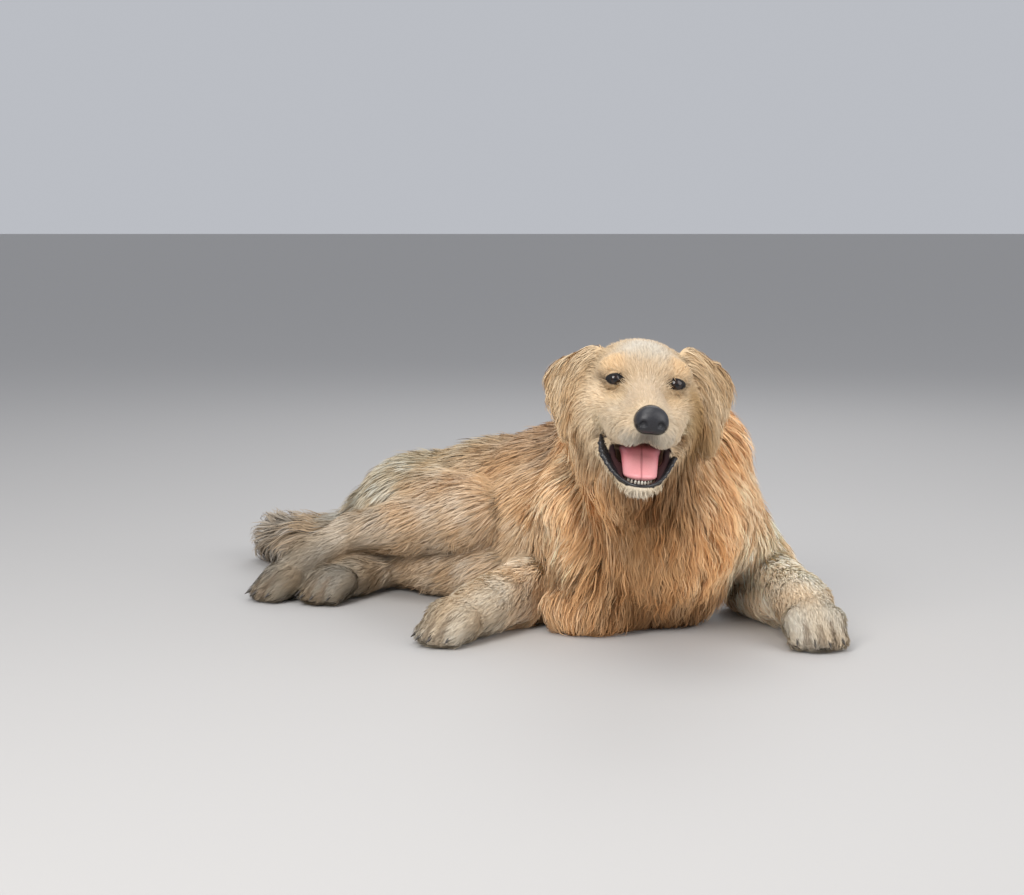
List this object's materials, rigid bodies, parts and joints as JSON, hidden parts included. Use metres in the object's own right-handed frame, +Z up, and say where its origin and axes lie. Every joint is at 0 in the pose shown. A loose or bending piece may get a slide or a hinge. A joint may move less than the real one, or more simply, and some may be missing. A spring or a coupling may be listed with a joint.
{
  "type": "golden retriever model",
  "caption": "Life-size golden retriever lying on its chest with head up and mouth open, forelegs stretched ahead and both hind legs to one side.",
  "frame": {"origin": "middle of the model's bounding box, on the floor it lies on", "axes": "+Z up from the floor; -Y the way the head looks; +X to the dog's left"},
  "size_m": [0.7898, 0.9034, 0.3737],
  "materials": {
    "belly": "golden coat",
    "chest": "golden coat",
    "claw_fore_left_1": "satin, dark horn",
    "claw_fore_left_2": "satin, dark horn",
    "claw_fore_left_3": "satin, dark horn",
    "claw_fore_left_4": "satin, dark horn",
    "claw_fore_right_1": "satin, dark horn",
    "claw_fore_right_2": "satin, dark horn",
    "claw_fore_right_3": "satin, dark horn",
    "claw_fore_right_4": "satin, dark horn",
    "claw_hind_left_1": "satin, dark horn",
    "claw_hind_left_2": "satin, dark horn",
    "claw_hind_left_3": "satin, dark horn",
    "claw_hind_left_4": "satin, dark horn",
    "claw_hind_right_1": "satin, dark horn",
    "claw_hind_right_2": "satin, dark horn",
    "claw_hind_right_3": "satin, dark horn",
    "claw_hind_right_4": "satin, dark horn",
    "ear_left": "golden coat",
    "ear_right": "golden coat",
    "eye_left": "wet gloss, near-black brown",
    "eye_right": "wet gloss, near-black brown",
    "fore_left_lower": "golden coat",
    "fore_left_paw": "pale cream coat",
    "fore_left_upper": "golden coat",
    "fore_right_lower": "golden coat",
    "fore_right_paw": "pale cream coat",
    "fore_right_upper": "golden coat",
    "head": "pale cream coat",
    "hind_left_paw": "pale cream coat",
    "hind_left_shank": "pale cream coat",
    "hind_left_thigh": "pale cream coat",
    "hind_right_paw": "pale cream coat",
    "hind_right_shank": "pale cream coat",
    "hind_right_thigh": "pale cream coat",
    "jaw": "pale cream coat",
    "neck": "golden coat",
    "nose": "damp satin, grey-black",
    "rump": "pale cream coat",
    "tail": "pale cream coat",
    "tongue": "wet satin, pink"
  },
  "bodies": {
    "root": {"belly": "belly", "chest": "chest", "claw_fore_left_1": "claw_fore_left_1", "claw_fore_left_2": "claw_fore_left_2", "claw_fore_left_3": "claw_fore_left_3", "claw_fore_left_4": "claw_fore_left_4", "claw_fore_right_1": "claw_fore_right_1", "claw_fore_right_2": "claw_fore_right_2", "claw_fore_right_3": "claw_fore_right_3", "claw_fore_right_4": "claw_fore_right_4", "claw_hind_left_1": "claw_hind_left_1", "claw_hind_left_2": "claw_hind_left_2", "claw_hind_left_3": "claw_hind_left_3", "claw_hind_left_4": "claw_hind_left_4", "claw_hind_right_1": "claw_hind_right_1", "claw_hind_right_2": "claw_hind_right_2", "claw_hind_right_3": "claw_hind_right_3", "claw_hind_right_4": "claw_hind_right_4", "ear_left": "ear_left", "ear_right": "ear_right", "eye_left": "eye_left", "eye_right": "eye_right", "fore_left_lower": "fore_left_lower", "fore_left_paw": "fore_left_paw", "fore_left_upper": "fore_left_upper", "fore_right_lower": "fore_right_lower", "fore_right_paw": "fore_right_paw", "fore_right_upper": "fore_right_upper", "head": "head", "hind_left_paw": "hind_left_paw", "hind_left_shank": "hind_left_shank", "hind_left_thigh": "hind_left_thigh", "hind_right_paw": "hind_right_paw", "hind_right_shank": "hind_right_shank", "hind_right_thigh": "hind_right_thigh", "jaw": "jaw", "neck": "neck", "nose": "nose", "rump": "rump", "tail": "tail", "tongue": "tongue"}
  },
  "joints": []
}
